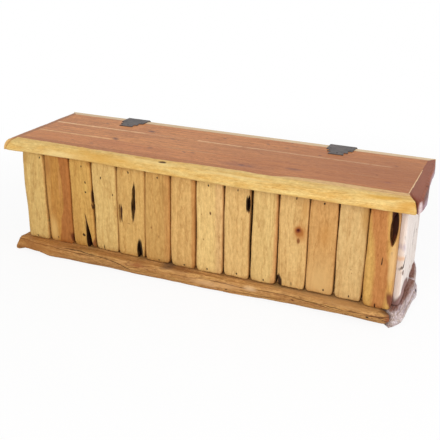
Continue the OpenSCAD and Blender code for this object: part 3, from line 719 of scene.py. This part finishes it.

# ---- End walls -----------------------------------------------------------------------------
# The same slabs, four to each end. At the right end the strong light from that side is painted into them,
# so they are almost white, with grey marks where the bark sat; the left end is as yellow as the front.

# Marks on the right wall, slab by slab from the front. The first three are torn to brown wood at
# the foot.
end_marks = [
    [(-44, 170, 9, 11, 0, "#dba873", 0.7, 1), (-40, 152, 3.6, 25, -14, "#46301f", 0.97, 0.4),
     (-30, 172, 2.4, 10, -40, "#5f4334", 0.9, 0.5), (-38, 119, 6, 11, 12, "#5f4334", 0.97, 0.4),
     (-38, 119, 3, 6, 12, "#a97c5f", 0.8, 0.6), (-44, 208, 2.6, 16, 4, "#a898a8", 0.7, 0.8),
     (12, 60, 5, 24, -14, "#b59e90", 0.6, 0.9), (12, -10, 68, 84, 0, "#5f3f35", 0.9, 0.12),
     (12, -12, 66, 80, 0, "#92706a", 0.96, 0.15)],
    [(-10, 150, 3, 40, 12, "#8d7a70", 0.7, 0.8), (20, 70, 6, 14, 20, "#9b6f5c", 0.85, 0.6),
     (-30, -10, 62, 60, 0, "#5f3f35", 0.9, 0.12), (-30, -12, 60, 56, 0, "#8f6c64", 0.96, 0.15)],
    [(-8, 112, 5, 38, -20, "#4f3f43", 0.96, 0.4), (2, 176, 4, 30, -4, "#5d4c50", 0.9, 0.6),
     (-18, 56, 10, 34, 0, "#8f7d7c", 0.85, 0.7), (0, -20, 70, 44, 0, "#8f6c64", 0.95, 0.2),
     (10, 240, 3, 40, 3, "#b5a9a1", 0.7, 0.9)],
    [(-14, 137, 5, 20, -45, "#4f3f43", 0.95, 0.4), (4, 205, 4, 60, 4, "#75656a", 0.85, 0.6),
     (18, 60, 8, 24, 0, "#a08a80", 0.6, 0.9)],
]
# Dust and painted shade darken the joints of the right wall, paler on its first slab. Grime and painted
# shade darken those of the left.
first_dust_and_shade = (0, -9, "#cbb3a8", 0.5)
dust_and_shade = (0, -9, "#8f766e", 0.75)
left_grime_and_shade = (-4, 3, "#24120a", 0.94)
# The right wall's cedar is the front's yellow wood with the light from the right painted in:
# almost white, with faint rings. The left wall's peeled cedar is satin and yellow, like the front's.
for i in range(1, 5):
    for end, wall_line, sense in (("right", wall_right, 1), ("left", wall_left, -1)):
        node = "%s_slab_%02d" % (end, i)
        low, high = [corner * 1000 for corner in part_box(node)]
        origin = (wall_line, (low.y + high.y) / 2, low.z)
        if end == "right":
            skin = cedar("painted_light_cedar_%02d" % i, "YZX", "#ebe3dc", "#bfaca2", "#dccec6", origin=origin,
                         pith=(6 * i - 14, -60), seed=20 + i, rim="#d9c4b6",
                         marks=end_marks[i - 1], lines=0.3, joint=first_dust_and_shade if i == 1 else dust_and_shade)
        else:
            skin = cedar("peeled_cedar_left_%02d" % i, "YZX", "#d4ae6c", "#9c6a35", "#c69852",
                         origin=origin, pith=(14 - 6 * i, 60), seed=30 + i, rim="#b3783f",
                         lines=0.3, joint=left_grime_and_shade, fibre=0.2, flecks=0.3, curl=2)
        mesh = carve(node, slab_spacing, 2, slab_skin,
                     lambda place: ramp((place.x - wall_line) * sense, -skin_depth, 0),
                     soften=2, fuller=squarer(node, 1, 0, wall_line, sense))
        dress(node.replace("_slab", "_wall_slab"), mesh, node, "chest",
              [skin, split_wood_and_shade])

# ---- Nails ---------------------------------------------------------------------------------
# The front slabs are nailed to the rails behind them. The heads are plain dark iron, about
# 5 mm across, and are driven in until their low domes are flush with the wood.

# Bare iron with a little rust, dark and dull.
nail_iron, tree = new_material("nail_iron")
scale_spots = add(tree, "TexNoise", {"Vector": add(tree, "TexCoord").outputs["Object"], "Scale": 900})
iron_tone = add(tree, "Mix", {0: scale_spots, 6: colour("#2a211c"), 7: colour("#3d322b")},
                data_type="RGBA")
metal = add(tree, "BsdfPrincipled", {"Base Color": iron_tone, "Metallic": 0.4, "Roughness": 0.7})
add(tree, "OutputMaterial", [metal])

# A low dome, given as (radius, height) in mm from its rim to near its middle.
nail_dome = [(2.6, -0.8), (2.5, -0.1), (1.8, 0.25), (0.8, 0.42)]
nail_sides = 16
nail_depth = 0.35
angles = [math.tau * k / nail_sides for k in range(nail_sides)]
work = bmesh.new()
for place, normal in nail_places:
    turn = Vector((0, 0, 1)).rotation_difference(normal).to_matrix()
    rings = []
    for radius, height in nail_dome:
        circle = [Vector((radius * math.cos(a), radius * math.sin(a), height - nail_depth))
                  for a in angles]
        rings.append([work.verts.new(place + turn @ corner / 1000) for corner in circle])
    for lower, upper in zip(rings, rings[1:]):
        for k in range(nail_sides):
            following = (k + 1) % nail_sides
            work.faces.new((lower[k], lower[following], upper[following], upper[k]))
    work.faces.new(rings[-1])
    work.faces.new(rings[0][::-1])
for face in work.faces:
    face.smooth = True
nail_mesh = bpy.data.meshes.new("front_nails")
work.to_mesh(nail_mesh)
work.free()
nail_mesh.materials.append(nail_iron)
nails = put("front_nails", nail_mesh)
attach(nails, "chest")

# ---- Back wall -----------------------------------------------------------------------------
# Three flat sawn boards close the back, one above the other, each with one knot. They are cut
# square and lie against the posts. The hinges hang on the top one.

# Sawn cedar like that of the frame, pale and nearly matt, each board from another part of the tree.
for i in range(1, 4):
    node = "back_board_%d" % i
    board = cedar("sawn_cedar_back_%d" % i, "ZXY", "#d9b07a", "#b27f50", "#cb9468", pith=(30 * i - 60, 150),
                  ring=7, seed=40 + i, rough=0.55, fibre=0.12,
                  marks=[(60 + 115 * i, 260 * i - 600, 10, 13, 0, "#7d452a", 0.85, 0.6)])
    dress_sawn("sawn_", node, 1.0, "chest", board)

# ---- Lid boards ----------------------------------------------------------------------------
# Three planed boards of red heartwood, glued edge to edge, are the seat. A cream line of sapwood
# comes and goes along both joints, and small purple-brown knots are scattered over the boards.

knot = "#6b4a44"
lid_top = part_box("lid_board_middle")[1].z * 1000
seam_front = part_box("lid_board_middle")[0].y * 1000
seam_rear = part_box("lid_board_middle")[1].y * 1000
cream = "#f5d0a6"
# The strength of the cream line along the rear joint, and along the front one.
rear_line = [(-762, 1), (-430, 1), (-405, 0.8), (-340, 0.75), (-320, 0.35), (-165, 0.2), (-114, 0.05),
             (-107, 0.95), (66, 0.95), (72, 0.3), (84, 0.3), (92, 0.85), (394, 0.85), (400, 0.3),
             (410, 0.85), (530, 0.85), (537, 0.2), (544, 0.8), (608, 0.7), (618, 0), (762, 0)]
front_line = [(-762, 0.6), (-715, 0.95), (-425, 0.95), (-395, 0.15), (-190, 0.1), (-150, 0.35), (10, 0.35),
              (30, 0), (480, 0), (500, 0.4), (583, 0.4), (600, 0), (762, 0)]


def across_joint(joint, half):
    """Two lines along the lid, half mm on either side of a joint."""
    return [[(-762, joint + side), (0, joint + side), (762, joint + side)] for side in (-half, half)]


# Knots and the broad stains of the heartwood, in mm from the middle of the lid.
lid_marks = [
    (134, -537, 7, 12, 30, knot, 0.5, 0.9), (107, -321, 13, 22, 25, knot, 0.85, 0.9),
    (-36, -395, 12, 26, 40, knot, 0.8, 0.9), (-120, -445, 7, 11, 30, knot, 0.6, 0.8),
    (-151, -651, 8, 15, 30, knot, 0.65, 0.8), (-115, -532, 7, 12, 30, knot, 0.6, 0.8),
    (-80, -224, 13.5, 16, 30, knot, 0.6, 0.9), (53, -202, 8, 12, 0, knot, 0.75, 0.8),
    (47, -178, 3, 7, 30, "#54352c", 0.85, 0.6), (-73, -92, 5.5, 11, 30, knot, 0.7, 0.8),
    (-67, -60, 8, 13.5, 20, knot, 0.65, 0.9), (113, -90, 5.5, 8, 30, knot, 0.5, 0.9),
    (143, -30, 7, 12, 30, knot, 0.6, 0.8), (144, 143, 7, 11, 30, knot, 0.65, 0.8),
    (190, 220, 5.5, 7, 0, knot, 0.8, 0.7), (127, 220, 9.5, 11, 0, knot, 0.5, 0.9),
    (-119, 145, 36, 110, 0, "#96604c", 0.6, 1), (-119, 145, 11, 15, 0, "#6e5150", 0.85, 0.9),
    (-119, 175, 8, 12, 20, "#7c5a55", 0.6, 0.9),
    (-87, 317, 14, 38, 0, "#75534f", 0.85, 1), (25, 163, 3.5, 12, 20, knot, 0.7, 0.7),
    (-26, 581, 3.5, 6, 20, "#3c2a26", 0.9, 0.5), (-80, 629, 7, 12, 0, "#5f4a44", 0.85, 0.8),
    (-80, 629, 18, 34, 0, "#a5604e", 0.6, 1), (92, 618, 5, 12, 30, "#5a4a48", 0.75, 0.8),
    (96, 354, 5, 7, 0, "#4c3430", 0.8, 0.7), (-100, -573, 5, 40, 0, "#d4a07a", 0.6, 0.9),
    (-33, 540, 1.2, 55, 0, "#8a5745", 0.7, 0.8), (40, 120, 70, 700, 0, "#b07c58", 0.25, 1),
    (-30, 760, 330, 900, 0, "#9c5e3c", 0.7, 1),
    (-100, -350, 60, 300, 0, "#b97046", 0.4, 1), (-110, -640, 80, 200, 0, "#c87f48", 0.5, 1)]
# Planed heartwood: red-brown and satin, with fine close grain. Each board's pith lies below it, at
# its own place across the lid.
heart_piths = {"front": -100, "middle": 10, "rear": 140}
for k, (which, heart) in enumerate(heart_piths.items()):
    board = cedar(
        "planed_heartwood_" + which, "YXZ", "#d8955f", "#a0643c", "#bb774d",
        origin=(0, 0, lid_top), pith=(heart, -70), ring=4, seed=50 + k, rough=0.42,
        fibre=0.28, blots=(13, 210, 0.8), lines=0.7,
        stripes=[(*across_joint(seam_rear + 2.5, 4.5), cream, rear_line, 4),
                 (*across_joint(seam_front + 5, 5), "#e8be8d", front_line, 4)],
        marks=lid_marks)
    dress_sawn("planed_", "lid_board_" + which, 0.25, "lid", board)

# ---- Live-edge strips of the lid -----------------------------------------------------------
# Four strips frame the core, mitred at the corners. The rear one is sawn straight. The others keep
# the tree's own edge: in front a broad bevel of golden sapwood, at the ends red with a purple rind.

edge_spacing = 4.5
edge_skin = [(1.2, 40, 230), (0.6, 14, 90), (0.25, 6, 34)]
# The line along which the sapwood of the front strip meets the red heart.
heart_line = [(-762, -172), (-600, -174), (-300, -181), (-150, -182), (0, -177), (150, -174), (250, -179),
              (300, -171), (350, -158), (450, -151), (550, -150), (650, -152), (762, -154)]
# Peeled sapwood, golden and satin, with a curly figure, and pale streaks of painted highlight along the
# upper bevel.
golden = cedar(
    "live_edge_golden", "YXZ", "#e3c784", "#c08c46", "#daac5c", origin=(0, 0, 0), pith=(-230, 360), ring=4,
    seed=60, rough=0.42, fibre=0.18, blots=(16, 100, 0.85), lines=0.6, curl=2,
    stripes=[([(x, -178 if x > 280 else y) for x, y in heart_line], heart_line, "#d9b27e", 0.85, 5),
             (heart_line, None, "#b4744c", 0.97, 3)],
    marks=[(-205, 665, 11, 90, -5, "#cf9a3a", 0.75, 0.8), (-222, 715, 10, 50, -8, "#c98f33", 0.6, 0.8),
           (-186, 500, 2, 90, -4, "#c49348", 0.7, 0.8), (-216, 510, 2, 45, -8, "#a9732f", 0.6, 0.8),
           (-168, 655, 2.5, 70, -3, "#b98236", 0.8, 0.7), (-180, 690, 2, 60, -7, "#c08a3a", 0.75, 0.7),
           (-212, -350, 16, 200, 0, "#d29e48", 0.6, 1),
           (-236, 706, 3, 4, 0, "#6b3d22", 0.9, 0.5), (-236, 738, 3, 4, 0, "#8a5a3c", 0.85, 0.5),
           # Three pale streaks along the upper bevel are painted highlight.
           (-205, -150, 8, 150, 0, "#e9cd8c", 0.6, 1), (-212, 160, 8, 170, 0, "#ecd394", 0.6, 1),
           (-215, -520, 8, 110, 0, "#edd294", 0.6, 1), (-197, -112, 5, 17, 0, "#4a2b14", 0.95, 0.4)])
# Red heartwood with the purple rind left on its outer edge, and a pale nose at the front.
rosy = cedar(
    "live_edge_rosy", "XYZ", "#985c46", "#6f3c2e", "#8a4f3e", origin=(0, 0, 0), pith=(640, 380), ring=5,
    seed=61, rough=0.45, fibre=0.16, joint=(436, 418, "#b095a0", 0.8),
    marks=[(740, -205, 40, 50, 0, "#7f3c2b", 0.75, 0.9), (762, -222, 14, 30, 0, "#e6d2d0", 0.9, 0.6),
           (750, -60, 8, 12, 0, "#5d3226", 0.8, 0.8)],
    stripes=[([(-240, 757), (-150, 754), (0, 747), (120, 740), (230, 727)], None, "#6f5552", 0.85, 6),
             ([(-240, 704), (90, 704)], [(-240, 708), (90, 708)], "#f0cfa4",
              [(-240, 0.8), (-40, 0.9), (84, 0.95), (90, 0)], 1.5)])
# The left strip is paler, with a thin purple-brown rind and golden sapwood at its front corner.
purple = cedar(
    "live_edge_purple", "XYZ", "#b5805e", "#7d533c", "#a5704e", origin=(0, 0, 0), pith=(-640, 380), ring=5,
    seed=62, rough=0.5, fibre=0.16,
    stripes=[(None, [(-240, -751), (0, -753), (230, -751)], "#826458", 0.85, 5)],
    marks=[(-750, -236, 40, 52, 0, "#dcb573", 0.95, 0.5)])
# The rear strip is sawn straight from cream sapwood, with red heart along its front edge.
sap_cream = cedar(
    "sawn_sapwood", "YXZ", "#e3cba8", "#c3a074", "#dcb98a", origin=(0, 0, 0), pith=(240, 340), ring=6,
    seed=63, rough=0.45, fibre=0.08,
    stripes=[(None, [(-762, 200), (-100, 198), (300, 199), (600, 202), (762, 204)], "#b98463", 0.9, 3)])
# Each strip: its wood, the axis of its grain, and where it is the tree's own, 0 to 1, measured from
# the middle of the bench. The underside of the right one is left as it was sawn.
live_strips = [("front", golden, 0, lambda place: ramp(-place.y, 172, 192)),
               ("left", purple, 1, lambda place: ramp(-place.x, 742, 754)),
               ("right", rosy, 1, lambda place: ramp(place.x, 738, 750) * ramp(place.z, 403, 410))]
for which, material, grain, own_edge in live_strips:
    node = "lid_%s_strip" % which
    mesh = carve(node, edge_spacing, grain, edge_skin, own_edge)
    dress("live_edge_" + node, mesh, node, "lid", [material, split_wood_and_shade])
dress_sawn("sawn_", "lid_rear_strip", 1.0, "lid", sap_cream)

# ---- Battens -------------------------------------------------------------------------------
# Three flat battens of sawn cedar are screwed across the under side of the lid. They keep its
# boards together and flat, and their corners are broken more than those of the frame.

dress_sawn("sawn_", "lid_battens", 2.0, "lid", sawn["XYZ"])

# ---- Hinges --------------------------------------------------------------------------------
# Each hinge is two leaves cut from 3 mm sheet iron with stepped edges, rolled round a pin and
# painted black. The paint is worn to a soft grey, and round-headed screws hold the leaves.

# Hammered iron under black paint. The hammer marks are about 7 mm wide, with a fine grit of the
# paint over them, and the worn patches about 22 mm.
iron, tree = new_material("painted_iron")
metal_place = add(tree, "VectorMath", [add(tree, "TexCoord").outputs["Object"], (1000, 1000, 1000)],
                  operation="MULTIPLY")
dents = add(tree, "TexVoronoi", {"Vector": metal_place, "Scale": 1 / 7}, feature="SMOOTH_F1")
grit = add(tree, "TexNoise", {"Vector": metal_place, "Scale": 0.9, "Detail": 3})
wear = add(tree, "TexNoise", {"Vector": metal_place, "Scale": 1 / 22, "Detail": 3})
worn = add(tree, "MapRange", {"Value": wear, "From Min": 0.35, "From Max": 0.7})
paint = add(tree, "Mix", {0: worn, 6: colour("#3d3634"), 7: colour("#5b514d")}, data_type="RGBA")
heights = add(tree, "Math", [add(tree, "Math", [grit, 0.15], operation="MULTIPLY"), dents],
              operation="ADD")
hammered = add(tree, "Bump", {"Strength": 0.5, "Distance": 0.0006, "Height": heights})
gloss = add(tree, "MapRange", {"Value": grit, "To Min": 0.42, "To Max": 0.62})
coat = add(tree, "BsdfPrincipled", {"Base Color": paint, "Roughness": gloss, "Normal": hammered,
                                    "Metallic": 0.0, "IOR": 1.5})
add(tree, "OutputMaterial", [coat])

# Blackened steel of the pins and screws: a dark metal with a soft sheen.
steel, tree = new_material("blackened_steel")
brush = add(tree, "TexNoise", {"Vector": add(tree, "TexCoord").outputs["Object"], "Scale": 700})
steel_tone = add(tree, "Mix", {0: brush, 6: colour("#4d4a4b"), 7: colour("#6d696a")}, data_type="RGBA")
steel_gloss = add(tree, "MapRange", {"Value": brush, "To Min": 0.35, "To Max": 0.5})
metal = add(tree, "BsdfPrincipled", {"Base Color": steel_tone, "Roughness": steel_gloss, "Metallic": 0.9})
add(tree, "OutputMaterial", [metal])

for side_name in ("left", "right"):
    for node, body, slot, material, corner in (
            ("hinge_lid_leaf_" + side_name, "lid", "black_iron", iron, 0.6),
            ("hinge_back_leaf_" + side_name, "chest", "black_iron", iron, 0.6),
            ("hinge_pin_" + side_name, "chest", "steel_fixings", steel, 0.4)):
        dress_sawn("forged_", node, corner, body, material)
for node, body in (("hinge_lid_screws", "lid"), ("hinge_back_screws", "chest")):
    dress_sawn("round_", node, 0.3, body, steel)

# ---- Size ----------------------------------------------------------------------------------
# The box of the dressed bench, lowest and highest corner in metres. The box of the solids was taken when
# they were read in.

low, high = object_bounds()
